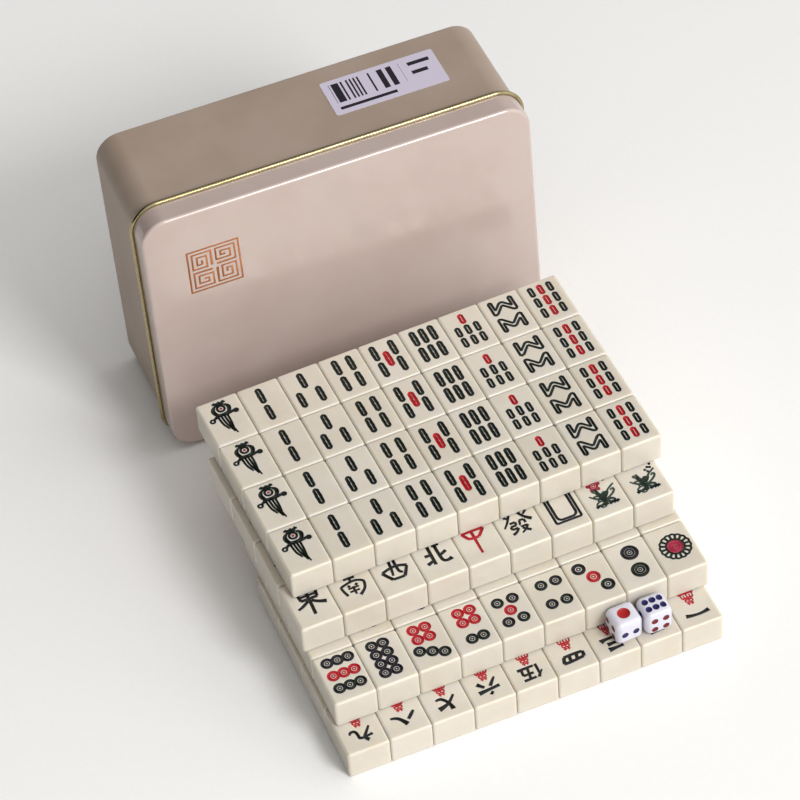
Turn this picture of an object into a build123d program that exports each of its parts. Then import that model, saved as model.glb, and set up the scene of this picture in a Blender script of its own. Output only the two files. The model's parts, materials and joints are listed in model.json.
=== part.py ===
from build123d import *
from math import asin, atan2, cos, degrees, hypot, radians, sin
import os

# A mahjong set of small tiles with its two-piece slip-lid tin, in millimetres.
# The tin stands on one long narrow side, with its lid facing the stepped stack of tiles.
# X runs along the tin, Y from the stack back to the tin, and Z up from the table.

# ---- tiles ---------------------------------------------------------------------------
tile_width = 14.9
tile_length = 20.7
tile_thickness = 11.8
tile_gap = 0.1          # air between neighbours that are pushed together by hand
tile_bevel = 0.9        # width of the broken edge all round a tile
columns = 9
rows = 4
layers = 4

# ---- dice ----------------------------------------------------------------------------
die_size = 10.0
die_edge_radius = 1.9
pip_diameter = 2.4
ace_diameter = 4.4      # the single pip of the one is larger than the rest
pip_depth = 0.4
ace_depth = 0.6
pip_sides = 8           # flats round each drilled pip
pip_pitch_corner = 4.1  # between pips that stand in a face's corners
pip_pitch_across = 3.2  # between the two files of the six
pip_pitch_along = 2.7   # along a file of the six

# ---- tin -----------------------------------------------------------------------------
sheet = 0.3             # lacquered tinplate
side_room = 4.3         # inside the tin, beside the nine columns
dice_bay = 21.7         # inside the tin, beside the four rows, where the dice go
depth_room = 0.6        # over the fourth layer, under the lid
body_corner_radius = 9.0
heel_radius = 0.8       # where the wall rolls in at the foot
base_recess = 1.6       # the base panel stands back by this much from the heel
seam_play = 0.05        # between the base's flange and the fold that grips it
mouth_hem = 2.0         # depth of the safe hem round the mouth

# ---- lid -----------------------------------------------------------------------------
lid_clearance = 0.2     # between the skirt and the body wall, on each side
lid_depth = 10.0        # from the face to the lower end of the curl
lid_edge_radius = 1.2
rim_gap = 0.1           # between the body's mouth and the round inside the lid's edge
curl_diameter = 1.6     # the skirt's raw edge, rolled outwards
curl_sides = 8          # flats that stand for the bead's round section

# ---- label ---------------------------------------------------------------------------
label_length = 41.5
label_width = 18.0
label_thickness = 0.12
label_from_end = 39.6   # label's middle, in from the tin's right-hand end
label_from_face = 32.8  # label's middle, back from the lid's face

# ---- arrangement ---------------------------------------------------------------------
lid_to_bamboo = 20.7    # from the foot of the lid to the back of the top layer
bamboo_step = 14.25     # each layer stands this far in front of the one above it
honours_step = 23.9
dots_step = 13.3
# Pushed together by hand, a layer is off to one side (mm), turned (degrees), and each of
# its columns slips back behind the one on its left (mm).
characters_shift, characters_turn, characters_slip = 1.6, 0.66, 0.07
dots_shift, dots_turn, dots_slip = 2.7, 0.88, 0.24
honours_shift, honours_turn, honours_slip = 1.3, 1.66, -0.04
bamboo_shift, bamboo_turn = 3.6, 2.24
die_one_columns = 2.423 # in columns, to the right of the stack's middle
die_one_turn = 4.0
die_six_turn = 1.5
die_one_gap = 0.35      # from each die back to the layer behind it
die_six_gap = 1.2
between_dice = 0.5

# ---- names, from left to right ---------------------------------------------------------
characters_names = [f"characters_{n}" for n in range(columns, 0, -1)]
dots_names = [f"dots_{n}" for n in range(columns, 0, -1)]
honours_names = ["wind_east", "wind_south", "wind_west", "wind_north",
                 "dragon_red", "dragon_green", "dragon_white", "flowers", "seasons"]
bamboo_names = [f"bamboo_{n}" for n in range(1, columns + 1)]

# ---- sizes that follow -----------------------------------------------------------------
column_pitch = tile_width + tile_gap
row_pitch = tile_length + tile_gap
layer_width = columns * column_pitch - tile_gap
layer_length = rows * row_pitch - tile_gap

body_length = layer_width + side_room + 2 * sheet
body_height = layer_length + dice_bay + 2 * sheet
panel_bottom = base_recess
panel_top = panel_bottom + sheet
tin_depth = panel_top + layers * tile_thickness + depth_room + sheet
body_rim = tin_depth - lid_edge_radius - rim_gap
label_along = body_length / 2 - label_from_end

lid_reach = lid_clearance + sheet
lid_length = body_length + 2 * lid_reach
lid_height = body_height + 2 * lid_reach
lid_corner_radius = body_corner_radius + lid_reach
curl_radius = curl_diameter / 2
curl_level = tin_depth - lid_depth + curl_radius


# ---- tiles and dice --------------------------------------------------------------------
def tile():
    block = Box(tile_width, tile_length, tile_thickness)
    return chamfer(block.edges(), tile_bevel)


def tile_column(number, level, slip):
    """Four like tiles, one behind the other, in the layer's own frame: its origin is the
    middle of the layer's front edge, on the table."""
    steps = number - (columns - 1) / 2
    front = steps * slip
    one = tile()
    places = [Pos(steps * column_pitch, front + tile_length / 2 + row * row_pitch,
                  (level + 0.5) * tile_thickness) for row in range(rows)]
    return Compound(children=[place * one for place in places])


def pip_places(value):
    """Pip centres on a face. The two lies straight, and the three slants."""
    corner, across, along = pip_pitch_corner / 2, pip_pitch_across / 2, pip_pitch_along
    places = {
        1: [(0, 0)],
        2: [(-corner, 0), (corner, 0)],
        3: [(-corner, -corner), (0, 0), (corner, corner)],
        4: [(x, y) for x in (-corner, corner) for y in (-corner, corner)],
        6: [(x, y) for x in (-across, across) for y in (-along, 0, along)],
    }
    places[5] = places[4] + places[1]
    return places[value]


def pip_cutter(value, x, y):
    """A plug that leaves a drilled pip in a face that lies in the XY plane."""
    width, depth = (ace_diameter, ace_depth) if value == 1 else (pip_diameter, pip_depth)
    return Pos(x, y, -depth) * extrude(RegularPolygon(width / 2, pip_sides), 2 * depth)


def die(top, front, right):
    """A rounded die. Opposite faces add up to seven."""
    half = die_size / 2
    body = fillet(Box(die_size, die_size, die_size).edges(), die_edge_radius)
    faces = [
        (top, Rot(0, 0, 90)), (7 - top, Rot(180, 0, 0)),
        (front, Rot(90, 0, 0)), (7 - front, Rot(-90, 0, 0)),
        (right, Rot(0, 90, 0)), (7 - right, Rot(0, -90, 0)),
    ]
    for value, turn in faces:
        for x, y in pip_places(value):
            body -= turn * Pos(0, 0, half) * pip_cutter(value, x, y)
    return Pos(0, 0, half) * body


# ---- tin, lying on its base: Z is its depth, from the heel up to the lid's face --------
def plan(inset, low, high, length=body_length, height=body_height, corner=body_corner_radius):
    """The tin's rounded plan, drawn in by inset, as a prism from low to high."""
    outline = RectangleRounded(length - 2 * inset, height - 2 * inset, corner - inset)
    return Pos(0, 0, low) * extrude(outline, high - low)


def tin_body():
    """Wall of one sheet. Its foot rolls in and forward, over the base's flange, and its
    mouth is hemmed inwards."""
    slot_outer = sheet
    slot_inner = 2 * sheet + 2 * seam_play
    fold_inner = slot_inner + sheet
    fold_top = panel_bottom - seam_play
    wall = plan(0, 0, body_rim)
    wall = fillet(wall.faces().sort_by(Axis.Z)[0].edges(), heel_radius)
    wall -= plan(fold_inner, 0, fold_top)
    wall -= plan(slot_outer, fold_top, body_rim)
    wall -= plan(slot_outer, sheet, fold_top) - plan(slot_inner, sheet, fold_top)
    hem = plan(sheet, body_rim - mouth_hem, body_rim) - plan(2 * sheet, body_rim - mouth_hem, body_rim)
    return wall + hem


def tin_base():
    """Recessed panel with a flange that points down into the wall's fold."""
    flange_outer = sheet + seam_play
    flange_foot = sheet + seam_play
    base = plan(flange_outer, flange_foot, panel_top)
    return base - plan(flange_outer + sheet, flange_foot, panel_bottom)


def tin_lid():
    """Shallow drawn lid. Its skirt ends in an outward curl."""
    def shell(inset, low, high):
        return plan(inset, low, high, lid_length, lid_height, lid_corner_radius)

    outside = shell(0, curl_level, tin_depth)
    outside = fillet(outside.faces().sort_by(Axis.Z)[-1].edges(), lid_edge_radius)
    inside = shell(sheet, curl_level, tin_depth - sheet)
    inside = chamfer(inside.faces().sort_by(Axis.Z)[-1].edges(), lid_edge_radius - sheet)
    return (outside - inside) + lid_curl()


def lid_curl():
    """The skirt's raw edge, rolled outwards into a tight bead."""
    middle = curl_radius - sheet
    centre_line = RectangleRounded(lid_length + 2 * middle, lid_height + 2 * middle,
                                   lid_corner_radius + middle)
    path = Pos(0, 0, curl_level) * centre_line.wire()
    section = Plane(origin=path @ 0, x_dir=(0, 0, 1), z_dir=path % 0)
    bead = RegularPolygon(curl_radius, curl_sides, major_radius=False, rotation=180 / curl_sides)
    return sweep(section * bead, path)


def tin_label():
    sticker = Box(label_length, label_thickness, label_width)
    return Pos(label_along, (body_height + label_thickness) / 2, tin_depth - label_from_face) * sticker


# ---- arrangement -------------------------------------------------------------------------
def standing_tin():
    """Stands the tin on a long side. It rests on the lid's curl and on its own heel, which
    is less proud, so it leans back. The foot of the lid's face is at Y = 0."""
    curl_below = lid_height / 2 + curl_radius - sheet
    heel_below = body_height / 2 - heel_radius
    run = curl_level - heel_radius
    drop = curl_below - heel_below
    lean = atan2(drop, run) + asin((curl_radius - heel_radius) / hypot(run, drop))
    face_foot = -lid_height / 2 * sin(lean) - tin_depth * cos(lean)
    heel = -heel_below * cos(lean) + heel_radius * sin(lean)
    return Pos(0, -face_foot, heel_radius - heel) * Rot(90 - degrees(lean), 0, 0)


def half_turned(turn):
    """Half the width of a die that is turned about the upright."""
    flat = die_size / 2 - die_edge_radius
    return flat * (cos(radians(turn)) + abs(sin(radians(turn)))) + die_edge_radius


bamboo_front = -lid_to_bamboo - layer_length
honours_front = bamboo_front - bamboo_step
dots_front = honours_front - honours_step
characters_front = dots_front - dots_step

stack = [
    (characters_names, characters_front, characters_shift, characters_turn, characters_slip),
    (dots_names, dots_front, dots_shift, dots_turn, dots_slip),
    (honours_names, honours_front, honours_shift, honours_turn, honours_slip),
    (bamboo_names, bamboo_front, bamboo_shift, bamboo_turn, 0),
]


def standing_die(top, front, right, along, turn, gap):
    """A die on the ledge in front of the dots layer."""
    slant = sin(radians(dots_turn)) + dots_slip / column_pitch
    wall = dots_front + (along - dots_shift) * slant
    place = Pos(along, wall - gap - half_turned(turn), tile_thickness)
    return place * Rot(0, 0, turn) * die(top, front, right)


tin_place = standing_tin()
parts = {
    "tin_body": tin_place * tin_body(),
    "tin_base": tin_place * tin_base(),
    "tin_lid": tin_place * tin_lid(),
    "tin_label": tin_place * tin_label(),
}
for level, (names, front, shift, turn, slip) in enumerate(stack):
    layer_place = Pos(shift, front, 0) * Rot(0, 0, turn)
    for number, name in enumerate(names):
        parts[name] = layer_place * tile_column(number, level, slip)

die_one_along = die_one_columns * column_pitch
die_six_along = die_one_along + half_turned(die_one_turn) + between_dice + half_turned(die_six_turn)
parts["die_one"] = standing_die(1, 2, 3, die_one_along, die_one_turn, die_one_gap)
parts["die_six"] = standing_die(6, 4, 5, die_six_along, die_six_turn, die_six_gap)

# The origin goes to the middle of the whole set's box, on the table.
boxes = [shape.bounding_box() for shape in parts.values()]
left, right = min(box.min.X for box in boxes), max(box.max.X for box in boxes)
front, back = min(box.min.Y for box in boxes), max(box.max.Y for box in boxes)
floor = min(box.min.Z for box in boxes)
origin = Pos(-(left + right) / 2, -(front + back) / 2, -floor)

os.makedirs("parts", exist_ok=True)
for name, shape in parts.items():
    export_step(origin * shape, f"parts/{name}.step")
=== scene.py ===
import json
import math
import random

import bpy
from mathutils import Matrix, Quaternion, Vector


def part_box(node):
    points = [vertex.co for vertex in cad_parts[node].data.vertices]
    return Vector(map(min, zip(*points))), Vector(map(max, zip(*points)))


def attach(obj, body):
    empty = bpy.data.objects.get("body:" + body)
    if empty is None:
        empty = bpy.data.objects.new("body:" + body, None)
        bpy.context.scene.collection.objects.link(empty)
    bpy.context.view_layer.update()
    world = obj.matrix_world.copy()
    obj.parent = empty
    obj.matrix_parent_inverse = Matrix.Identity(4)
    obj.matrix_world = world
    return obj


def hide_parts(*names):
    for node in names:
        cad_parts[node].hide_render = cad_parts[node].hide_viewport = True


# A small mahjong set: a two-piece slip-lid tin, four stepped layers of engraved tiles and
# two dice. Sizes are in millimetres and become metres where a piece is made.

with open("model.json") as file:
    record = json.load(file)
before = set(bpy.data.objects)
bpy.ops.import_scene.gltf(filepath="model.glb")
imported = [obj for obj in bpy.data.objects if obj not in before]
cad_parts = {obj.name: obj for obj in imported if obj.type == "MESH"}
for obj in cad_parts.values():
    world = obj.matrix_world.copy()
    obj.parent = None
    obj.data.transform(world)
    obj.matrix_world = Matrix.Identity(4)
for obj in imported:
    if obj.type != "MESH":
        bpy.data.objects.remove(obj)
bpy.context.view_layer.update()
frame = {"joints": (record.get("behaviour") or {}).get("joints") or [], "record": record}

MM = 0.001

# ---- driving sizes -------------------------------------------------------------------
tile_width = 14.9
tile_length = 20.7
tile_rounding = 0.95
tile_air = 0.02        # left under a tile, so that no two stacked tiles share a plane
row_pitch = 20.8
rows = 4
layer_turns = {"characters_layer": 0.66, "dots_layer": 0.88, "honours_layer": 1.66}
bamboo_turn = 2.24
dots_set_back = 0.7    # the dots' signs sit this much further back on all but the front row
groove_rise = 0.03     # a groove is cut by a rod whose middle lies this much above the face
groove_depth_share = 0.9    # a groove's depth, as a share of half its width

die_size = 10.0
die_rounding = 2.3
pip_diameter = 2.4
ace_diameter = 4.4
pip_depth = 0.4
ace_depth = 0.6
pip_pitch_corner = 4.1
pip_pitch_across = 3.2
pip_pitch_along = 2.7
die_one_turn, die_six_turn = 4.0, 1.5

sheet = 0.28
body_length, body_height, body_corner = 139.8, 105.4, 9.0
body_rim = 48.7
heel_radius = 0.8
hem_depth = 2.0
hem_radius = 0.3
fold_inner = 1.0
fold_top = 1.55
base_recess = 1.6
base_flange = 0.65
base_foot = 0.35

lid_length, lid_height, lid_corner = 140.8, 106.4, 9.5
tin_depth = 50.0
lid_edge = 1.2
curl_level = 40.8
curl_radius = 0.8
curl_middle = 0.5
panel_inset = 4.0      # a drawn profile runs on this far before the flat panel fills the rest
corner_steps = 14

label_length, label_width, label_thickness = 41.5, 18.0, 0.12
label_corner = 0.8
label_along, label_depth = 30.3, 17.2

fret_size = 19.2
fret_line = 0.95
fret_proud = 0.03
fret_along, fret_up = -46.5, 26.7
spiral_start, spiral_pitch = 0.85, 1.68

floor_size = 6000.0


# ---- small helpers -------------------------------------------------------------------
def linear(colour):
    """A #rrggbb colour as linear red, green, blue and alpha."""
    values = [int(colour[i:i + 2], 16) / 255 for i in (1, 3, 5)]
    return tuple(v / 12.92 if v <= 0.04045 else ((v + 0.055) / 1.055) ** 2.4 for v in values) + (1.0,)


def add_node(material, kind, inputs=None, **settings):
    """Adds one shader node. An input is a value, or a (node, output name) pair to link."""
    node = material.node_tree.nodes.new(kind)
    for name, value in settings.items():
        setattr(node, name, value)
    for name, value in (inputs or {}).items():
        if isinstance(value, tuple) and isinstance(value[0], bpy.types.Node):
            material.node_tree.links.new(value[0].outputs[value[1]], node.inputs[name])
        else:
            node.inputs[name].default_value = value
    return node


def new_material(name):
    material = bpy.data.materials.new(name)
    material.use_nodes = True
    material.node_tree.nodes.clear()
    return material


def finish_material(material, inputs):
    """Closes a material with its one surface shader."""
    surface = add_node(material, "ShaderNodeBsdfPrincipled", inputs)
    add_node(material, "ShaderNodeOutputMaterial", {"Surface": (surface, "BSDF")})
    return material


def blend_colours(material, factor, first, second, factor_range=(0.0, 1.0)):
    """Mixes two colours by a (node, output) pair that runs over factor_range.

    The mix node's colours are its sockets 6 and 7 and its output 2.
    """
    ramp = add_node(material, "ShaderNodeMapRange", {
        "Value": factor, "From Min": factor_range[0], "From Max": factor_range[1]})
    mix = add_node(material, "ShaderNodeMix", {0: (ramp, "Result"), 6: first, 7: second}, data_type="RGBA")
    return (mix, 2)


def clouds(material, size, detail):
    """Noise over the object's own coordinates, with clouds of a size in millimetres."""
    place = add_node(material, "ShaderNodeTexCoord")
    noise = add_node(material, "ShaderNodeTexNoise", {
        "Vector": (place, "Object"), "Scale": 1 / (size * MM), "Detail": detail})
    return (noise, "Fac")


def relief(material, height, strength, depth):
    """A bump of a depth in millimetres, from a (node, output) pair."""
    bump = add_node(material, "ShaderNodeBump", {
        "Height": height, "Strength": strength, "Distance": depth * MM})
    return (bump, "Normal")


def select_only(*pieces):
    if bpy.context.object and bpy.context.object.mode != "OBJECT":
        bpy.ops.object.mode_set(mode="OBJECT")
    bpy.ops.object.select_all(action="DESELECT")
    for piece in pieces:
        piece.select_set(True)
    bpy.context.view_layer.objects.active = pieces[0] if pieces else None


def edit_all(piece):
    select_only(piece)
    bpy.ops.object.mode_set(mode="EDIT")
    bpy.ops.mesh.select_all(action="SELECT")


def leave_edit():
    bpy.ops.object.mode_set(mode="OBJECT")


def settle(piece):
    """Moves a piece's place, turn and size into its mesh."""
    select_only(piece)
    bpy.ops.object.transform_apply(location=True, rotation=True, scale=True)
    return piece


def copy_of(piece):
    twin = piece.copy()
    twin.data = piece.data.copy()
    bpy.context.scene.collection.objects.link(twin)
    return twin


def join(pieces):
    select_only(*pieces)
    bpy.ops.object.join()
    return pieces[0]


def apply_modifier(piece, kind, **settings):
    select_only(piece)
    bpy.ops.object.modifier_add(type=kind)
    modifier = piece.modifiers[-1]
    for name, value in settings.items():
        setattr(modifier, name, value)
    bpy.ops.object.modifier_apply(modifier=modifier.name)
    return piece


def smooth(piece, angle=32):
    """Shades rounded edges smooth, and keeps big flat faces flat."""
    select_only(piece)
    bpy.ops.object.shade_smooth_by_angle(angle=math.radians(angle))
    apply_modifier(piece, "WEIGHTED_NORMAL", keep_sharp=True, weight=80)
    return piece


def put_in_frame(piece, name, body, slot, *nodes):
    """Names a finished piece and ties it to its body and the nodes it stands for. The finish it is given is
    not used.
    """
    piece.name = name
    piece.data.name = name
    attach(piece, body)
    if nodes:
        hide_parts(*nodes)
    return piece


# ---- finishes ------------------------------------------------------------------------
def tile_resin():
    """Moulded melamine resin, tumbled and polished: warm ivory, slightly deep, glossy."""
    material = new_material("polished_melamine_ivory")
    tone = add_node(material, "ShaderNodeAttribute", attribute_name="tone")
    tint = blend_colours(material, (tone, "Fac"), linear("#d5cec1"), linear("#d1c8b8"), (-1.0, 1.0))
    cloudy = blend_colours(material, clouds(material, 9, 2.0), tint, linear("#dad4ca"), (0.3, 1.1))
    return finish_material(material, {
        "Base Color": cloudy, "Normal": relief(material, clouds(material, 3, 1.0), 0.12, 0.05),
        "Roughness": 0.2, "IOR": 1.5, "Subsurface Weight": 0.7, "Subsurface Scale": 3.0 * MM,
        "Subsurface Radius": (1.0, 0.85, 0.5)})


def ink(name, colour):
    """Enamel paint wiped into an engraved groove: dense colour, eggshell sheen, thin places."""
    material = new_material(name)
    show_through = 0.08
    thin = tuple((1 - show_through) * paint + show_through * resin
                 for paint, resin in zip(linear(colour), linear("#8a7c6c")))
    coat = blend_colours(material, clouds(material, 0.8, 2.0), linear(colour), thin, (0.5, 0.85))
    return finish_material(material, {
        "Base Color": coat, "Roughness": 0.35, "IOR": 1.5, "Specular IOR Level": 0.45})


def tin_lacquer(name, colour, darker, metallic, roughness, gloss, wave):
    """Roller-coated lacquer on tinplate: satin, with a little metal glow and a soft waviness."""
    material = new_material(name)
    coat = blend_colours(material, clouds(material, 25, 3.0), linear(colour), linear(darker), (0.35, 0.75))
    return finish_material(material, {
        "Base Color": coat, "Normal": relief(material, clouds(material, 22, 0.0), 0.5, wave),
        "Metallic": metallic, "Roughness": roughness, "Specular IOR Level": gloss})


def gold_lacquer():
    """Clear gold-tinted lacquer on bare tinplate, as inside such tins: bright warm metal."""
    material = new_material("gold_lacquered_tinplate")
    place = add_node(material, "ShaderNodeTexCoord")
    stretched = add_node(material, "ShaderNodeMapping", {
        "Vector": (place, "Object"), "Scale": (0.06, 1.0, 1.0)})
    grain = add_node(material, "ShaderNodeTexNoise", {
        "Vector": (stretched, "Vector"), "Scale": 1 / (0.6 * MM), "Detail": 2.0})
    colour = blend_colours(material, (grain, "Fac"), linear("#b3a680"), linear("#8d7f58"), (0.3, 0.8))
    return finish_material(material, {"Base Color": colour, "Metallic": 1.0, "Roughness": 0.2})


def label_paper():
    """Coated sticker paper, lilac white, with printed lines that stand for nothing."""
    material = new_material("coated_label_paper")
    place = add_node(material, "ShaderNodeUVMap", uv_map="sticker")
    parts = add_node(material, "ShaderNodeSeparateXYZ", {"Vector": (place, "UV")})
    along, across = (parts, "X"), (parts, "Y")

    def maths(operation, first, second=0.0):
        node = add_node(material, "ShaderNodeMath", {0: first, 1: second}, operation=operation)
        return (node, "Value")

    def band(value, low, high):
        return maths("MULTIPLY", maths("GREATER_THAN", value, low), maths("LESS_THAN", value, high))

    def patch(left, right, low, high):
        """One inside a box, whose edges are shares of the label's length and width."""
        return maths("MULTIPLY", band(along, left, right), band(across, low, high))

    bar_cells, blank_share = 62.0, 0.52
    bar_number = maths("FLOOR", maths("MULTIPLY", along, bar_cells))
    chance = add_node(material, "ShaderNodeTexWhiteNoise", {"W": bar_number}, noise_dimensions="1D")
    bars = maths("GREATER_THAN", (chance, "Value"), blank_share)
    printed = maths("MULTIPLY", bars, patch(0.06, 0.68, 0.32, 0.88))
    for line in ((0.75, 0.94, 0.72, 0.82), (0.75, 0.89, 0.46, 0.56), (0.06, 0.56, 0.12, 0.2)):
        printed = maths("ADD", printed, patch(*line))
    colour = blend_colours(material, printed, linear("#cfc7d9"), linear("#1d1824"))
    return finish_material(material, {"Base Color": colour, "Roughness": 0.38})


def copper_print():
    """Screen-printed bronze ink on the lid: flat orange-brown with a faint shimmer."""
    material = new_material("copper_screen_print")
    colour = blend_colours(material, clouds(material, 0.7, 2.0), linear("#bd7845"), linear("#a36238"),
                           (0.3, 0.7))
    return finish_material(material, {"Base Color": colour, "Metallic": 0.25, "Roughness": 0.45})


def die_plastic():
    """Moulded and tumbled acrylic: cold white, glossy, slightly deep."""
    material = new_material("tumbled_white_acrylic")
    white = blend_colours(material, clouds(material, 4, 2.0), linear("#d8d6e0"), linear("#d0cedb"),
                          (0.3, 0.8))
    return finish_material(material, {
        "Base Color": white, "Roughness": 0.16, "IOR": 1.49, "Subsurface Weight": 0.12,
        "Subsurface Scale": 1.5 * MM, "Subsurface Radius": (1.0, 0.9, 0.9)})


def floor_card():
    """Matt white card, as it lies on a studio table: pale, with no sheen and a faint fibre."""
    material = new_material("matt_white_card")
    white = blend_colours(material, clouds(material, 2, 2.0), linear("#f8f7f6"), linear("#f4f3f2"))
    return finish_material(material, {"Base Color": white, "Roughness": 0.9})


ivory = tile_resin()
inks = {
    "black": ink("black_enamel_ink", "#06080a"),
    "green": ink("dark_green_enamel_ink", "#04140d"),
    "red": ink("crimson_enamel_ink", "#ae0f20"),
    "leaf": ink("grey_green_enamel_ink", "#34463a"),
    "rose": ink("rose_enamel_ink", "#a42a45"),
    "ruby": ink("bright_die_paint", "#a60a10"),
    # The fours' red is the ones' red die paint made darker: painted shade.
    "garnet": ink("dark_red_die_paint", "#6c0b14"),
    "navy": ink("navy_enamel_ink", "#0d0a18"),
    "blue": ink("blue_enamel_ink", "#0a0852"),
}
lid_paint = tin_lacquer("dusty_pink_satin_lacquer", "#c5b4ad", "#bfaca4",
                        metallic=0.15, roughness=0.2, gloss=0.8, wave=0.15)
body_paint = tin_lacquer("beige_satin_lacquer", "#a8978a", "#9f8d7d",
                         metallic=0.0, roughness=0.42, gloss=0.2, wave=0.15)
gold = gold_lacquer()
paper = label_paper()
bronze = copper_print()
acrylic = die_plastic()


# ---- tile faces: grooves drawn on a face, x to the right and y up the design ------------
# A groove is (ink, form, width, points). A point may add its own share of the width.
def ring(colour, x, y, radius, width, steps):
    points = [(x + radius * math.cos(2 * math.pi * i / steps),
               y + radius * math.sin(2 * math.pi * i / steps)) for i in range(steps)]
    return (colour, "ring", width, points)


def spot(colour, x, y, diameter):
    """A filled disc: a ring so small that it closes."""
    return ring(colour, x, y, 0.26 * diameter, 0.52 * diameter, 12)


def stick(colour, x, y, long=False):
    """A bamboo stick: an outline, with a knuckle half-way on a long one. Red ones print wider."""
    half_length, half_width, width = (3.15, 0.62, 1.2) if long else (1.92, 0.6, 1.1)
    if colour == "red":
        width += 0.05
    knuckle = [(half_width, -0.5), (half_width * 1.25, 0.0), (half_width, 0.5)] if long else []
    side = [(half_width, -half_length), *knuckle, (half_width, half_length)]
    other = [(-a, -b) for a, b in side]
    return (colour, "loop", width, [(x + a, y + b) for a, b in side + other])


def bamboo_face(number):
    high, low = 4.5, -3.65
    if number == 1:
        return bamboo_bird()
    if number == 8:
        zigzag = [(-4.25, 7.8), (-4.25, 1.7), (-3.15, 1.7), (0.0, 5.2), (3.2, 1.7), (4.3, 1.7), (4.3, 7.8),
                  (3.2, 7.8), (3.2, 3.7), (0.5, 6.6), (-0.5, 6.6), (-3.15, 3.7), (-3.15, 7.8)]
        top = ("green", "loop", 1.1, zigzag)
        return [top, mirrored(top, 0.5)]
    if number in (2, 4, 6):
        across = {2: [-0.65], 4: [-2.5, 2.7], 6: [-3.4, 0.0, 3.4]}[number]
        return [stick("green", x, y, True) for x in across for y in (high, low)]
    if number == 3:
        return [stick("green", -0.35, high, True)] + [stick("green", x, low, True) for x in (-3.85, 3.15)]
    if number == 5:
        corners = [stick("green", x, y, True) for x in (-3.45, 3.5) for y in (high, low)]
        return corners + [stick("red", 0.1, 0.35, True)]
    if number == 7:
        return [stick("red", -0.1, 5.65)] + [
            stick("green", x, y) for x in (-3.6, -0.1, 3.35) for y in (0.3, -4.95)]
    return [stick("red" if x == 0 else "green", x, y)
            for x in (-3.5, 0.0, 3.5) for y in (5.8, 0.4, -4.95)]


def mirrored(groove, level):
    """The same groove upside down, about a level of the face."""
    colour, form, width, points = groove
    return (colour, form, width, [(p[0], 2 * level - p[1], *p[2:]) for p in points])


def bamboo_bird():
    """A perched bird with a flat crest, folded wings and a long striped tail."""
    face = [ring("green", 0.05, 5.4, 1.3, 0.95, 16), spot("rose", 0.05, 5.4, 1.1)]
    face += strokes("green", 1.1, [(-2.2, 8.2, 0.8), (0.0, 7.8, 1.1), (2.6, 8.1, 0.8)],
                    [(-1.7, 7.1, 0.7), (0.0, 7.2), (1.7, 7.1, 0.7)])
    for tip in (-1.5, 0.3, 2.0):
        face += strokes("green", 0.75, [(tip * 0.5, 6.9), (tip, 8.8)], form="line")
    face += strokes(
        "green", 1.35, [(-1.5, 7.0, 0.6), (-2.7, 6.3, 1.1), (-2.9, 4.2, 1.3), (-1.8, 2.5)],
        [(1.6, 6.9, 0.6), (2.8, 6.2, 1.1), (2.9, 4.3, 1.2), (1.8, 2.7)],
        [(-3.9, 1.5, 0.8), (-2.4, 2.7), (0.0, 2.3, 0.8), (2.4, 2.5), (4.3, 2.9, 0.8)],
        [(-1.8, 3.2, 0.6), (0.0, 2.4, 0.8), (1.8, 3.3, 0.6)])
    face += [ring("green", -4.6, 1.1, 0.75, 0.85, 10), spot("green", 4.5, 2.6, 2.1)]
    for top, bend, tip_x, tip_y in ((-2.2, -2.0, -0.6, -4.4), (-1.1, -0.9, 0.7, -6.2),
                                    (0.0, 0.2, 1.4, -7.0), (1.1, 1.2, 1.1, -4.2)):
        face += strokes("green", 0.88, [(top, 2.1), (bend, -1.4), (0.3 * bend + 0.45 * tip_x, -3.6),
                                        (tip_x, tip_y, 0.7)])
    return face


def dot(colour, x, y, size=1.0):
    """A dot: a heavy ring round a small one."""
    return [ring(colour, x, y, 1.6 * size, 1.25 * size, 18), ring(colour, x, y, 0.55 * size, 0.58, 10)]


def dots_face(number):
    if number == 1:
        return dots_rosette()
    if number == 2:
        face = []
        for colour, x, y in (("navy", 0.6, 5.05), ("green", 0.75, -3.0)):
            face += [ring(colour, x, y, 2.5, 1.35, 24), ring(colour, x, y, 1.35, 0.9, 16),
                     ring(colour, x, y, 0.5, 0.6, 10)]
        return face
    places = {
        3: [("navy", -2.75, 6.0), ("red", 0.5, 1.15), ("green", 3.6, -3.7)],
        4: [("green", -1.8, 5.3), ("navy", 3.5, 5.35), ("navy", -1.6, -3.35), ("green", 3.7, -3.3)],
        5: [("green", -2.9, 4.8), ("navy", 2.55, 4.9), ("red", 0.0, 0.5),
            ("navy", -2.6, -3.95), ("green", 2.85, -3.85)],
        6: [("red", x, y) for x in (-1.5, 2.75) for y in (6.7, 2.4)]
           + [("green", x, -4.85) for x in (-1.2, 2.85)],
        7: [("red", x, y) for x in (-2.6, 1.6) for y in (6.7, 2.5)]
           + [("green", -3.9, -2.2), ("green", 0.0, -3.8), ("green", 3.7, -5.5)],
        8: [("navy", x, y) for x in (-2.4, 1.55) for y in (6.7, 2.7, -1.3, -5.2)],
        9: [(colour, x, y) for colour, y in (("navy", 6.7), ("red", 1.05), ("green", -4.45))
            for x in (-3.3, 0.35, 4.0)],
    }
    size = 1.12 if number == 3 else 1.0
    return [groove for colour, x, y in places[number] for groove in dot(colour, x, y, size)]


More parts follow.
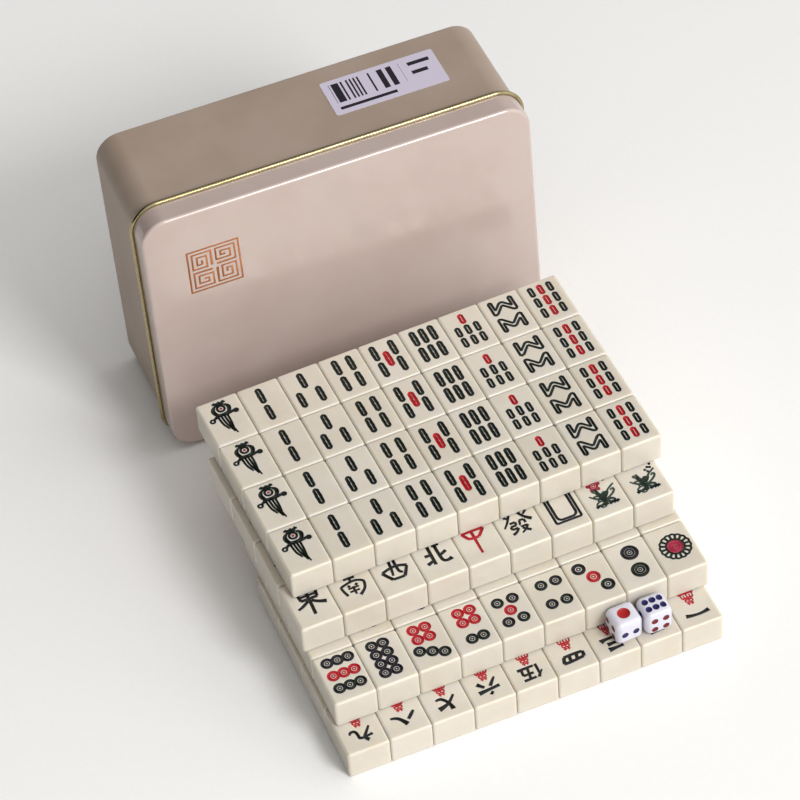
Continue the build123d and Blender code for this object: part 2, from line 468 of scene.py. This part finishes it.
def dots_rosette():
    """The single dot: a red disc inside a dark wheel of petals."""
    x, y, petals = 0.5, 0.7, 16
    face = [ring("rose", x, y, 2.2, 1.1, 24), ring("rose", x, y, 1.25, 0.9, 18),
            ring("rose", x, y, 0.45, 0.75, 12), ring("green", x, y, 3.15, 0.85, 32)]
    for i in range(petals):
        turn = 2 * math.pi * i / petals
        out = Vector((math.cos(turn), math.sin(turn)))
        face.append(("green", "line", 0.95, [(x + r * out.x, y + r * out.y) for r in (3.1, 5.1)]))
    steps = 4 * petals
    rim = []
    for i in range(steps):
        turn = 2 * math.pi * i / steps
        radius = 5.2 - 0.15 * math.cos(petals * turn)
        rim.append((x + radius * math.cos(turn), y + radius * math.sin(turn)))
    face.append(("green", "ring", 0.85, rim))
    return face


def strokes(colour, width, *paths, form="brush"):
    """Several grooves of one ink and width, as a brush or as straight lines would draw them."""
    return [(colour, form, width, list(path)) for path in paths]


def numeral_grooves(number):
    """The number in brush strokes, on the tile's own middle."""
    paths = {
        1: [[(-4.4, 4.8, 1.3), (-2.4, 5.4, 0.9), (1.5, 5.4, 0.85), (3.9, 4.8, 1.3)]],
        2: [[(-2.4, 5.8), (0, 5.8, 0.8), (2.5, 6.0, 1.3)],
            [(-3.8, 2.5), (0, 2.4, 0.8), (3.8, 2.8, 1.4)]],
        3: [[(-2.6, 6.4, 0.9), (0, 6.6, 0.7), (2.7, 6.7, 1.6)],
            [(-2.2, 4.2, 0.9), (0, 4.4, 0.7), (2.3, 4.5, 1.4)],
            [(-3.8, 1.8), (0, 2.1, 0.8), (3.0, 2.2, 1.1), (4.0, 2.6, 1.7)]],
        4: [[(-3.7, 5.2), (-0.5, 5.7, 0.9), (3.0, 5.9), (3.4, 5.7)], [(3.4, 5.8), (3.2, 4.6), (2.6, 3.3)],
            [(-3.7, 5.2), (-4.2, 4.2), (-3.9, 3.1)], [(-3.9, 3.2), (0, 2.8, 0.8), (2.7, 3.3)],
            [(-1.3, 5.5), (-1.5, 4.4), (-1.8, 3.2)], [(1.0, 5.7), (0.9, 4.4), (0.7, 3.1)]],
        5: [[(-2.0, 7.0, 1.2), (-2.5, 5.8), (-4.0, 4.4, 0.6)], [(-2.7, 5.4), (-2.7, 1.4)],
            [(-1.2, 6.6), (3.2, 6.7, 1.1)], [(0.9, 6.6), (0.6, 4.3), (0.3, 2.0)],
            [(-1.0, 4.5), (2.7, 4.6)], [(2.7, 4.6), (2.5, 2.0)], [(-1.9, 1.8), (3.9, 2.0, 1.2)]],
        6: [[(-0.6, 6.9, 1.1), (0.1, 6.1, 1.3)], [(-3.8, 4.4), (0.0, 4.8, 0.8), (3.8, 5.2, 1.4)],
            [(-0.8, 3.6), (-1.9, 2.1), (-3.4, 0.5, 0.6)], [(1.2, 3.5, 0.9), (2.2, 2.4), (3.2, 1.4, 1.3)]],
        7: [[(-3.4, 1.5, 0.7), (-1.5, 3.8, 0.9), (0.6, 5.1), (3.2, 5.7, 1.6)],
            [(-1.3, 7.1, 1.4), (-1.2, 5.0), (0.3, 2.4, 0.9), (1.6, 1.5), (3.0, 1.9, 0.7)]],
        8: [[(4.3, 2.4, 0.7), (2.6, 2.6), (1.0, 3.9), (-0.4, 6.5, 1.4)],
            [(-4.1, 1.9, 0.7), (-2.6, 3.4, 1.2), (-1.3, 4.7, 0.9)]],
        9: [[(-3.4, 1.5, 0.7), (-1.6, 3.9), (-0.2, 5.6), (-1.6, 7.0, 1.4)],
            [(-3.5, 5.0), (-1.6, 5.3, 0.8), (0.4, 5.6), (1.4, 5.0)],
            [(1.2, 5.2), (1.2, 2.9), (2.0, 1.8), (3.6, 2.0), (3.7, 3.0, 0.6)]],
    }
    return strokes("black", {5: 1.05, 9: 1.15}.get(number, 1.3), *paths[number])


def myriad_grooves():
    """The sign for ten thousand, on the tile's own middle: narrow at its head, wide below."""
    return strokes(
        "red", 0.58, [(-1.2, 0.1), (1.2, 0.1)], [(-0.6, 0.8), (-0.6, -0.5)], [(0.6, 0.8), (0.6, -0.5)],
        [(-1.2, -0.6), (1.2, -0.6)], [(-1.2, -0.6), (-1.3, -1.6)], [(1.2, -0.6), (1.3, -1.6)],
        [(0.0, -0.6), (0.0, -4.2)], [(-1.4, -1.55, 1.2), (1.4, -1.55, 1.2)],
        [(-1.9, -2.35, 1.5), (1.9, -2.35, 1.5)], [(-1.9, -2.35), (-2.1, -4.2)], [(1.9, -2.35), (2.1, -4.2)],
        [(-1.0, -2.5), (-1.0, -3.6)], [(1.0, -2.5), (1.0, -3.6)], [(-2.6, -4.4, 1.6), (2.6, -4.4, 1.6)],
        [(-2.5, -4.4), (-3.1, -5.4)], [(2.5, -4.4), (3.1, -5.4)], form="line")


def shifted(grooves, dx, dy, scale=1.0):
    return [(colour, form, width * scale, [(p[0] * scale + dx, p[1] * scale + dy, *p[2:]) for p in points])
            for colour, form, width, points in grooves]


def character_face(number):
    """The number over the sign. The moulds set them a little higher on the lower numbers."""
    return shifted(numeral_grooves(number) + myriad_grooves(), 0.0, 0.1 + 0.07 * (5 - number))


def honour_face(name):
    """A wind or a dragon in brush strokes. The white dragon is a double frame."""
    if name == "dragon_white":
        outer = [(-3.75, -6.0), (5.35, -6.0), (5.35, 6.8), (-3.75, 6.8)]
        inner = [(-2.65, -3.9), (-1.6, -4.95), (3.2, -4.95), (4.25, -3.9), (4.25, 4.7), (3.2, 5.75),
                 (-1.6, 5.75), (-2.65, 4.7)]
        return [("navy", "loop", 1.05, outer), ("navy", "loop", 1.05, inner)]
    if name == "dragon_red":
        return strokes(
            "red", 1.2, [(-4.2, 3.9, 1.1), (0.0, 4.1), (3.5, 3.9, 1.2)],
            [(-4.1, 3.9), (-3.4, 2.2), (-2.4, 0.9)], [(3.5, 3.8), (2.3, 2.2), (0.9, 0.8)],
            [(-2.5, 1.0), (-0.8, 0.7), (0.9, 0.8)],
            [(-0.7, 7.4), (-0.8, 0.0), (-0.75, -6.2, 0.8)])
    if name == "dragon_green":
        return strokes(
            "black", 1.0, [(-3.9, 6.0), (-1.2, 6.2)], [(-1.2, 6.2), (-2.3, 2.6), (-5.2, -0.3, 0.7)],
            [(-3.9, 4.3), (-2.7, 3.4)], [(0.9, 6.6), (1.6, 2.4), (4.9, 0.2, 1.5)],
            [(3.4, 6.0), (1.8, 4.3, 0.8)], [(4.4, 4.6), (2.9, 3.1, 0.8)], [(-2.9, 1.0), (-0.9, 1.0)],
            [(-0.9, 1.0), (-1.0, -0.3)], [(-3.0, -0.4), (-1.0, -0.4)], [(-3.0, -0.4), (-3.1, -1.7)],
            [(-3.1, -1.7), (-0.9, -1.7)], [(-0.9, -1.7), (-1.6, -3.4), (-3.6, -3.8, 1.2)],
            [(0.6, 1.2), (0.5, 0.0), (0.0, -0.9, 0.7)], [(0.6, 1.2), (2.2, 1.1)],
            [(2.2, 1.1), (2.3, -0.5)], [(0.1, -1.6), (2.6, -1.6)],
            [(2.6, -1.6), (1.6, -3.2), (-0.4, -4.2, 0.7)], [(0.4, -2.2), (1.5, -3.2), (2.8, -4.2, 1.2)])
    if name == "wind_east":
        return strokes(
            "black", 1.25, [(-3.8, 5.9), (0.0, 6.1), (4.0, 6.0, 1.2)], [(-3.1, 4.1), (-2.8, 1.1)],
            [(-3.1, 4.0), (3.2, 4.1)], [(3.2, 4.1), (2.8, 1.1)], [(-2.9, 2.6, 0.9), (2.9, 2.6, 0.9)],
            [(-2.9, 1.1), (2.9, 1.1)], [(0.0, 7.6), (0.0, 1.0), (-0.4, -5.7, 1.0)],
            [(-0.7, 0.3), (-2.6, -1.2), (-5.0, -2.0, 0.8)], [(0.5, 0.3), (2.0, -1.3), (5.0, -2.1, 1.3)])
    if name == "wind_south":
        return strokes(
            "black", 1.05, [(-2.0, 3.3), (0.0, 3.4), (1.9, 3.2, 1.2)], [(0.0, 6.2), (0.1, 3.0), (0.0, 1.6)],
            [(-3.9, 0.7, 0.9), (-3.7, -1.6), (-2.9, -3.6)],
            [(-3.9, 0.6), (-1.2, 1.6), (2.4, 1.8), (4.1, 0.4)],
            [(4.1, 0.5), (4.0, -1.6), (2.7, -3.6), (1.0, -4.7, 1.2)],
            [(-1.6, 0.4), (-0.9, -0.4)], [(1.7, 0.4), (1.0, -0.4)], [(-1.9, -1.0, 0.8), (1.9, -1.0, 0.8)],
            [(-1.8, -2.4, 0.8), (1.7, -2.4, 0.8)], [(0.0, -0.4), (0.0, -3.9, 0.8)])
    if name == "wind_west":
        return strokes(
            "black", 1.15, [(-3.0, 5.6), (0.1, 5.8), (3.4, 5.7, 1.2)],
            [(-4.3, 0.2, 1.2), (-3.2, -1.8), (-1.9, -3.7, 1.2)],
            [(-4.2, 0.2), (-1.8, 1.2), (2.3, 1.4), (4.5, 0.1, 1.2)],
            [(4.4, 0.1), (3.4, -2.0), (2.2, -3.8, 1.2)],
            [(-1.9, -3.7), (2.2, -3.8)], [(-0.5, 5.4), (-0.6, 1.0), (-1.3, -2.2, 0.8)],
            [(1.1, 5.4), (1.0, 0.5), (1.3, -1.8), (2.4, -1.9, 0.8)])
    return strokes(
        "black", 1.25, [(-1.6, 5.4), (-1.65, 0.0), (-1.7, -4.0)], [(-3.9, 0.5), (-1.7, 0.4)],
        [(-4.2, -3.2, 1.2), (-1.7, -2.1, 0.8)],
        [(0.8, 5.6), (0.8, -1.6), (1.3, -3.7), (3.1, -4.0), (4.4, -3.4, 1.3)],
        [(-0.2, 3.8), (2.4, 3.9)], [(3.6, 0.3), (2.2, -0.5), (0.9, -0.9, 0.8)])


def leaf(colour, x, y, turn, length=2.4, width=0.6):
    """A leaf outline that starts at a point and heads off at an angle in degrees."""
    ahead = Vector((math.cos(math.radians(turn)), math.sin(math.radians(turn)))) * length
    side = Vector((-ahead.y, ahead.x)) * 0.26
    middle = Vector((x, y)) + ahead * 0.5
    tip = Vector((x, y)) + ahead
    return (colour, "round", width, [(x, y), tuple(middle + side), tuple(tip), tuple(middle - side)])


def plant_face(number, season):
    """A flower or season tile: a blossom or a tally over a leafy plant, different each time."""
    lean = (-1) ** number
    face = strokes("leaf", 0.9, [(-1.1, 2.2, 0.7), (-0.3, -1.2), (0.2, -5.6, 1.2)],
                   [(0.3, -2.4, 0.7), (2.4, 0.6), (5.6, 2.0 + 0.2 * number, 0.8)],
                   [(0.0, -3.0), (-2.6, -2.2), (-4.3, 0.2 - 0.2 * number, 0.7)],
                   [(0.2, -3.4, 0.7), (3.0, -2.4), (5.0, -0.4), (4.2, 0.5), (3.4, -0.4, 0.7)])
    for x, y, turn, length in ((0.0, -1.2, 20, 2.8), (-0.2, -2.0, 165, 3.4), (0.2, -3.4, -16, 3.8),
                               (0.0, -3.7, 198, 3.9), (0.1, -2.4, 62 + 6 * number, 3.0),
                               (-0.1, -2.6, 118 - 5 * number, 3.2), (-0.8, 0.6, 150, 2.2)):
        face.append(leaf("leaf", x, y, turn + 3 * lean * number, length, 0.75))
        face.append(leaf("leaf", 0.6 * x + 0.3, y - 0.9, turn - 14 * lean, 0.8 * length, 0.6))
    for x in (-3.6, -2.2, -0.6, 1.2, 2.6, 3.6):
        face += strokes("green", 1.5, [(x, -4.5 - 0.3 * (number % 2), 0.8), (x - 0.5 * lean, -5.8, 1.1)])
    if season:
        for i in range(number):
            face += strokes("black", 1.1, [(-3.4 + 1.6 * i, 6.6), (-2.9 + 1.6 * i, 4.9, 0.7)])
        for x, y in ((2.6, 2.6), (3.8, 3.4), (5.0, 4.4), (4.6, 3.0), (3.2, 1.6), (-1.4, 0.2)):
            face.append(spot("black", x, y, 1.1))
        return face
    face += [ring("rose", -1.0, 3.6, 1.3, 0.9, 16), ring("red", -1.0, 3.6, 0.5, 0.5, 10)]
    petals = 5
    for i in range(petals):
        turn = 2 * math.pi * i / petals + 0.3 * number
        face.append(spot("rose", -1.0 + 1.9 * math.cos(turn), 3.6 + 1.9 * math.sin(turn), 1.5))
    for i in range(number):
        face += strokes("red", 0.8, [(2.2 + 1.1 * i, 5.4), (3.4 + 1.1 * i, 4.6, 0.7)])
    return face


# ---- engraving -------------------------------------------------------------------------
def eased(points, reach, closed):
    """Cuts the corners off a chain of points, so that a rod keeps its width round them."""
    chain = []
    for i, point in enumerate(points):
        if not closed and i in (0, len(points) - 1):
            chain.append(point)
            continue
        here = Vector(point[:2])
        for other in (points[i - 1], points[(i + 1) % len(points)]):
            way = Vector(other[:2]) - here
            chain.append((*(here + way * min(0.4, reach / way.length)), *point[2:]))
    return chain


def groove_cutter(colour, grooves, level):
    """All of one ink's grooves as round rods that lie half above a face."""
    curve = bpy.data.curves.new("grooves_" + colour, "CURVE")
    curve.dimensions = "3D"
    curve.bevel_depth = 0.5 * MM
    curve.bevel_resolution = 2
    curve.use_fill_caps = True
    curve.resolution_u = 4
    for _, form, width, points in grooves:
        curved = form in ("brush", "round")
        if form in ("loop", "line"):
            points = eased(points, 0.35 * width, form == "loop")
        spline = curve.splines.new("NURBS" if curved else "POLY")
        spline.points.add(len(points) - 1)
        spline.use_cyclic_u = form in ("loop", "ring", "round")
        if curved:
            spline.order_u = min(3, len(points))
            spline.use_endpoint_u = form == "brush"
        for point, place in zip(spline.points, points):
            point.co = (place[0] * MM, place[1] * MM, 0, 1)
            point.radius = width * (place[2] if len(place) > 2 else 1.0)
    rods = bpy.data.objects.new(curve.name, curve)
    bpy.context.scene.collection.objects.link(rods)
    select_only(rods)
    bpy.ops.object.convert(target="MESH")
    rods = bpy.context.object
    rods.scale = (1, 1, groove_depth_share)
    rods.location = (0, 0, level + groove_rise * MM)
    settle(rods)
    rods.data.materials.clear()
    rods.data.materials.append(inks[colour])
    return rods


def engrave(block, grooves, level):
    """Cuts grooves into the face of a block that looks up, and leaves them inked."""
    colours = sorted({groove[0] for groove in grooves})
    cutters = [groove_cutter(c, [g for g in grooves if g[0] == c], level) for c in colours]
    cutter = join(cutters)
    apply_modifier(block, "BOOLEAN", operation="DIFFERENCE", solver="EXACT", object=cutter,
                   use_self=True, material_mode="TRANSFER")
    bpy.data.objects.remove(cutter)
    return block


# ---- tiles -----------------------------------------------------------------------------
tile_low, tile_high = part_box("bamboo_1")
tile_thickness = (tile_high.z - tile_low.z) / MM


def tile_blank():
    """One plain tile on its own middle, its edges rounded by tumbling."""
    bpy.ops.mesh.primitive_cube_add(
        size=1, location=(0, 0, tile_air / 2 * MM),
        scale=(tile_width * MM, tile_length * MM, (tile_thickness - tile_air) * MM))
    blank = settle(bpy.context.object)
    edit_all(blank)
    bpy.ops.mesh.bevel(offset=tile_rounding * MM, segments=4, profile=0.5, affect="EDGES")
    leave_edit()
    blank.data.materials.append(ivory)
    return blank


def tile_rows(name, faces, turned):
    """Four engraved tiles in a row, front one first, on the column's middle."""
    made = {}
    tones = random.Random(name)
    tiles = []
    for row, (key, grooves) in enumerate(faces):
        if key not in made:
            made[key] = smooth(engrave(copy_of(blank_tile), grooves, tile_thickness / 2 * MM))
        tile = copy_of(made[key])
        half_turn = Matrix.Rotation(math.pi if turned else 0, 4, "Z")
        tile.data.transform(Matrix.Translation((0, (row - (rows - 1) / 2) * row_pitch * MM, 0)) @ half_turn)
        tone = tile.data.attributes.new("tone", "FLOAT", "POINT")
        tone.data.foreach_set("value", [tones.uniform(-1, 1)] * len(tile.data.vertices))
        tiles.append(tile)
    for tile in made.values():
        bpy.data.objects.remove(tile)
    return join(tiles)


def faces_of(name):
    """What the four tiles of a column show, front one first, each face with a key of its own."""
    kind, _, value = name.rpartition("_")
    if kind == "bamboo":
        return [(name, bamboo_face(int(value)))] * rows
    if kind == "dots":
        face = dots_face(int(value))
        return [(name, face)] + [(name + "_behind", shifted(face, 0, dots_set_back))] * (rows - 1)
    if kind == "characters":
        return [(name, character_face(int(value)))] * rows
    if name in ("flowers", "seasons"):
        return [(name + str(n), plant_face(n, name == "seasons")) for n in range(1, rows + 1)]
    return [(name, honour_face(name))] * rows


def lay_column(name, body, turn, turned=False):
    """Lays a column of tiles where the CAD has it, in a layer turned by a few degrees."""
    column = tile_rows(name, faces_of(name), turned)
    low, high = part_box(name)
    turned_by = Matrix.Rotation(math.radians(turn), 4, "Z")
    column.data.transform(Matrix.Translation((low + high) / 2) @ turned_by)
    put_in_frame(column, name + "_tiles", body, "tile_ivory", name)


blank_tile = tile_blank()
bodies = frame["record"]["behaviour"]["bodies"]
for layer, turn in layer_turns.items():
    for column_name in bodies[layer]:
        lay_column(column_name, layer, turn, layer == "characters_layer")
for n in range(1, 10):
    lay_column(f"bamboo_{n}", f"bamboo_{n}_column", bamboo_turn)
bpy.data.objects.remove(blank_tile)


# ---- dice ------------------------------------------------------------------------------
def pip_places(value):
    """Pip centres on a face, in millimetres. The two lies straight, and the three slants."""
    corner, across, along = pip_pitch_corner / 2, pip_pitch_across / 2, pip_pitch_along
    places = {
        1: [(0, 0)],
        2: [(-corner, 0), (corner, 0)],
        3: [(-corner, -corner), (0, 0), (corner, corner)],
        4: [(x, y) for x in (-corner, corner) for y in (-corner, corner)],
        6: [(x, y) for x in (-across, across) for y in (-along, 0, along)],
    }
    places[5] = places[4] + places[1]
    return places[value]


def die(top, front, right):
    """A tumbled die with dished pips. One and four are red. Opposite faces add up to seven."""
    bpy.ops.mesh.primitive_cube_add(size=die_size * MM)
    cube = bpy.context.object
    edit_all(cube)
    bpy.ops.mesh.bevel(offset=die_rounding * MM, segments=6, profile=0.5, affect="EDGES")
    leave_edit()
    cube.data.materials.append(acrylic)
    quarter = math.pi / 2
    brim = 1.02    # a dish is cut a little wider than its pip, because it meets the face at a slope
    faces = [(top, (0, 0, quarter)), (7 - top, (math.pi, 0, 0)), (front, (quarter, 0, 0)),
             (7 - front, (-quarter, 0, 0)), (right, (0, quarter, 0)), (7 - right, (0, -quarter, 0))]
    cutters = []
    for value, turn in faces:
        width, depth = (ace_diameter, ace_depth) if value == 1 else (pip_diameter, pip_depth)
        facing = (Quaternion((1, 0, 0), turn[0]) @ Quaternion((0, 1, 0), turn[1])
                  @ Quaternion((0, 0, 1), turn[2]))
        for x, y in pip_places(value):
            bpy.ops.mesh.primitive_uv_sphere_add(segments=20, ring_count=12, radius=width / 2 * MM)
            dish = bpy.context.object
            dish.scale = (brim, brim, 2 * depth / width)
            settle(dish)
            place = facing.to_matrix().to_4x4() @ Matrix.Translation((x * MM, y * MM, die_size / 2 * MM))
            dish.data.transform(place)
            # The four pips take the darker red, which is painted shade.
            dish.data.materials.append(inks[{1: "ruby", 4: "garnet"}.get(value, "blue")])
            cutters.append(dish)
    cutter = join(cutters)
    apply_modifier(cube, "BOOLEAN", operation="DIFFERENCE", solver="EXACT", object=cutter,
                   material_mode="TRANSFER")
    bpy.data.objects.remove(cutter)
    return smooth(cube, 40)


def lay_die(node, body, turn, *values):
    """Lays a die where the CAD has it. Its values are those on top, in front and to the right."""
    cube = die(*values)
    low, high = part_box(node)
    turned_by = Matrix.Rotation(math.radians(turn), 4, "Z")
    cube.data.transform(Matrix.Translation((low + high) / 2) @ turned_by)
    put_in_frame(cube, node + "_cube", body, "die_white", node)


lay_die("die_one", "die_showing_one", die_one_turn, 1, 2, 3)
lay_die("die_six", "die_showing_six", die_six_turn, 6, 4, 5)


# ---- tin: its own frame has X along it, Y up it, and Z from its base to the lid's face ----
lid_slide = next(j for j in frame["joints"] if j["name"] == "lid_pull")
lean = math.asin(lid_slide["axis"][2] / math.hypot(*lid_slide["axis"]))


def standing_tin():
    """Takes the tin's own frame to the row's. The lid's lowest and foremost points fix it."""
    lid_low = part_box("tin_lid")[0]
    foremost = -((lid_height / 2 - lid_edge) * math.sin(lean)
                 + (tin_depth - lid_edge) * math.cos(lean) + lid_edge) * MM
    lowest = (-(lid_height / 2 + curl_middle) * math.cos(lean)
              + curl_level * math.sin(lean) - curl_radius) * MM
    return (Matrix.Translation((0, lid_low.y - foremost, lid_low.z - lowest))
            @ Matrix.Rotation(math.pi / 2 - lean, 4, "X"))


tin_place = standing_tin()


def arc(x, y, radius, start, end, steps):
    """Points on an arc, from one angle in degrees to another."""
    turns = [math.radians(start + (end - start) * i / steps) for i in range(steps + 1)]
    return [(x + radius * math.cos(t), y + radius * math.sin(t)) for t in turns]


def chain_curve(name, points, closed=False):
    """A flat chain of straight lines, from points in millimetres."""
    curve = bpy.data.curves.new(name, "CURVE")
    curve.dimensions = "2D"
    spline = curve.splines.new("POLY")
    spline.points.add(len(points) - 1)
    spline.use_cyclic_u = closed
    for point, (x, y) in zip(spline.points, points):
        point.co = (x * MM, y * MM, 0, 1)
    chain = bpy.data.objects.new(name, curve)
    bpy.context.scene.collection.objects.link(chain)
    return chain


def sweep(path, section):
    """Draws a section along a path, its y upwards, and uses both up."""
    path.data.dimensions = "3D"
    path.data.twist_mode = "Z_UP"
    path.data.bevel_mode = "OBJECT"
    path.data.bevel_object = section
    select_only(path)
    bpy.ops.object.convert(target="MESH")
    bpy.data.objects.remove(section)
    return bpy.context.object


def drawn_round(length, height, corner, profile):
    """Draws a profile, x outwards and y up in millimetres, round a plan with round corners."""
    bpy.ops.mesh.primitive_plane_add(size=1)
    path = bpy.context.object
    path.scale = (length * MM, height * MM, 1)
    settle(path)
    edit_all(path)
    bpy.ops.mesh.bevel(affect="VERTICES", offset=corner * MM, segments=corner_steps)
    bpy.ops.mesh.delete(type="ONLY_FACE")
    leave_edit()
    bpy.ops.object.convert(target="CURVE")
    return sweep(bpy.context.object, chain_curve("section", profile))


def close_panel(piece, level):
    """Fills the flat opening that a drawn profile leaves at a level with one face."""
    weld = 0.001    # points nearer than this count as one
    edit_all(piece)
    bpy.ops.mesh.remove_doubles(threshold=weld * MM)
    bpy.ops.mesh.select_all(action="DESELECT")
    bpy.ops.mesh.select_non_manifold(use_wire=False, use_multi_face=False, use_non_contiguous=False,
                                     use_verts=False)
    leave_edit()
    for vertex in piece.data.vertices:
        vertex.select = vertex.select and abs(vertex.co.z / MM - level) < weld
    for part in (*piece.data.edges, *piece.data.polygons):
        part.select = False
    bpy.ops.object.mode_set(mode="EDIT")
    bpy.ops.mesh.edge_face_add()
    leave_edit()


def tin_piece(wall, outside, inside, rim):
    """Gives a painted surface its thickness of sheet, with gold lacquer on the inner side."""
    for finish in (outside, inside, rim):
        wall.data.materials.append(finish)
    apply_modifier(wall, "SOLIDIFY", thickness=sheet * MM, offset=-1.0, use_even_offset=True,
                   use_quality_normals=True, material_offset=1, material_offset_rim=2)
    smooth(wall, 30)
    wall.data.transform(tin_place)
    return wall


def make_lid():
    """A shallow drawn lid. The raw edge of its skirt is rolled outwards, gold side out."""
    profile = [(-panel_inset, tin_depth)]
    profile += arc(-lid_edge, tin_depth - lid_edge, lid_edge, 90, 0, 6)
    profile += arc(curl_middle, curl_level, curl_middle, 180, 480, 20)
    lid = drawn_round(lid_length, lid_height, lid_corner, profile)
    close_panel(lid, tin_depth)
    return tin_piece(lid, lid_paint, gold, gold)


def make_body():
    """The wall: hemmed at the mouth, and rolled in over the base's flange at the heel."""
    profile = [(-2 * hem_radius, body_rim - hem_depth)]
    profile += arc(-hem_radius, body_rim - hem_radius, hem_radius, 180, 0, 8)
    profile += arc(-heel_radius, heel_radius, heel_radius, 0, -90, 6)
    profile += [(-fold_inner, 0.0), (-fold_inner, fold_top)]
    wall = drawn_round(body_length, body_height, body_corner, profile)
    return tin_piece(wall, body_paint, gold, gold)


def make_base():
    """A flat panel, set back from the heel, with a flange inside the wall's fold."""
    bend = 0.3
    profile = [(-base_flange, base_foot), (-base_flange, base_recess - bend)]
    profile += arc(-base_flange - bend, base_recess - bend, bend, 0, 90, 4)
    profile += [(-panel_inset, base_recess)]
    base = drawn_round(body_length, body_height, body_corner, profile)
    close_panel(base, base_recess)
    return tin_piece(base, body_paint, gold, gold)


def make_label():
    """A thin sticker on the side of the tin that looks up, with slightly rounded corners."""
    bpy.ops.mesh.primitive_plane_add(size=1, calc_uvs=True)
    sticker = bpy.context.object
    sticker.data.uv_layers[0].name = "sticker"
    sticker.scale = (label_length * MM, label_width * MM, 1)
    settle(sticker)
    edit_all(sticker)
    bpy.ops.mesh.bevel(affect="VERTICES", offset=label_corner * MM, segments=4)
    bpy.ops.mesh.extrude_region_move(TRANSFORM_OT_translate={"value": (0, 0, label_thickness * MM)})
    leave_edit()
    lay_back = Matrix.Rotation(-math.pi / 2, 4, "X")
    lift = Matrix.Translation((label_along * MM, body_height / 2 * MM, label_depth * MM))
    sticker.data.transform(tin_place @ lift @ lay_back)
    edit_all(sticker)
    bpy.ops.mesh.normals_make_consistent(inside=False)
    leave_edit()
    sticker.data.materials.append(paper)
    return sticker


def fret_line_piece(points, closed=False):
    """One printed line with mitred corners, as a ribbon that stands barely proud."""
    half = fret_line / 2
    ribbon = [(-half, 0), (half, 0), (half, fret_proud), (-half, fret_proud)]
    line = chain_curve("fret", points, closed)
    line.data.use_fill_caps = not closed
    return sweep(line, chain_curve("ribbon", ribbon, True))


def make_fret():
    """A traditional square fret: a frame round four square spirals."""
    edge = fret_size / 2 - fret_line / 2
    lines = [fret_line_piece([(-edge, -edge), (edge, -edge), (edge, edge), (-edge, edge)], True)]
    turns = [(0, 0), (4, 0), (4, 4), (0, 4), (0, 1), (3, 1), (3, 3), (1, 3), (1, 2), (2, 2)]
    spiral = [(spiral_start + x * spiral_pitch, spiral_start + y * spiral_pitch) for x, y in turns]
    for quarter in range(4):
        line = fret_line_piece(spiral)
        line.data.transform(Matrix.Rotation(quarter * math.pi / 2, 4, "Z"))
        lines.append(line)
    fret = join(lines)
    fret.data.transform(tin_place @ Matrix.Translation((fret_along * MM, fret_up * MM, tin_depth * MM)))
    edit_all(fret)
    bpy.ops.mesh.normals_make_consistent(inside=False)
    leave_edit()
    fret.data.materials.clear()
    fret.data.materials.append(bronze)
    return fret


put_in_frame(make_lid(), "tin_lid_shell", "lid", "lid_lacquer", "tin_lid")
put_in_frame(make_body(), "tin_wall", "tin", "tin_body_lacquer", "tin_body")
put_in_frame(make_base(), "tin_base_panel", "tin", "tin_body_lacquer", "tin_base")
put_in_frame(make_label(), "tin_sticker", "tin", "label_paper", "tin_label")
put_in_frame(make_fret(), "lid_fret_print", "lid", "lid_lacquer")


# ---- floor, light and camera -------------------------------------------------------------
def make_floor():
    bpy.ops.mesh.primitive_plane_add(size=1)
    floor = bpy.context.object
    floor.scale = (floor_size * MM, floor_size * MM, 1)
    settle(floor)
    floor.name = "floor"
    floor.data.materials.append(floor_card())


def soft_light(name, place, aim, size, power):
    """A square soft box that looks at a point."""
    lamp = bpy.data.lights.new(name, "AREA")
    lamp.shape = "SQUARE"
    lamp.size = size
    lamp.energy = power
    light = bpy.data.objects.new(name, lamp)
    bpy.context.scene.collection.objects.link(light)
    light.location = place
    light.rotation_mode = "QUATERNION"
    light.rotation_quaternion = (Vector(place) - Vector(aim)).to_track_quat("Z", "Y")


def make_light():
    """A studio that is bright in front, to the right and above, and dim to the left and behind."""
    world = bpy.data.worlds.new("studio")
    bpy.context.scene.world = world
    world.use_nodes = True
    world.node_tree.nodes.clear()
    bright_side = Vector((0.72, -0.65, 0.5)).normalized()
    look = add_node(world, "ShaderNodeTexCoord")
    towards = add_node(world, "ShaderNodeVectorMath", {0: (look, "Generated"), 1: bright_side},
                       operation="DOT_PRODUCT")
    power = add_node(world, "ShaderNodeMapRange", {
        "Value": (towards, "Value"), "From Min": -0.2, "From Max": 1.0, "To Min": 0.02, "To Max": 1.42})
    sky = add_node(world, "ShaderNodeBackground", {
        "Color": linear("#fffefc"), "Strength": (power, "Result")})
    add_node(world, "ShaderNodeOutputWorld", {"Surface": (sky, "Background")})
    soft_light("front_softbox", place=(0.42, -1.0, 1.02), aim=(0, 0, 0.02), size=0.42, power=10.5)


def make_camera():
    azimuth, elevation, roll = (math.radians(a) for a in (-18.13, 48.26, -5.01))
    distance = 1.3405
    aim = Vector((-0.0007, 0.0070, 0.040))
    back = Vector((math.sin(azimuth) * math.cos(elevation), -math.cos(azimuth) * math.cos(elevation),
                   math.sin(elevation)))
    data = bpy.data.cameras.new("camera")
    data.lens = 177.36
    data.sensor_width = 36
    camera = bpy.data.objects.new("camera", data)
    bpy.context.scene.collection.objects.link(camera)
    camera.location = aim + back * distance
    camera.rotation_mode = "QUATERNION"
    camera.rotation_quaternion = back.to_track_quat("Z", "Y") @ Quaternion((0, 0, 1), roll)
    bpy.context.scene.camera = camera


make_floor()
make_light()
make_camera()
bpy.context.scene.view_settings.view_transform = "Standard"
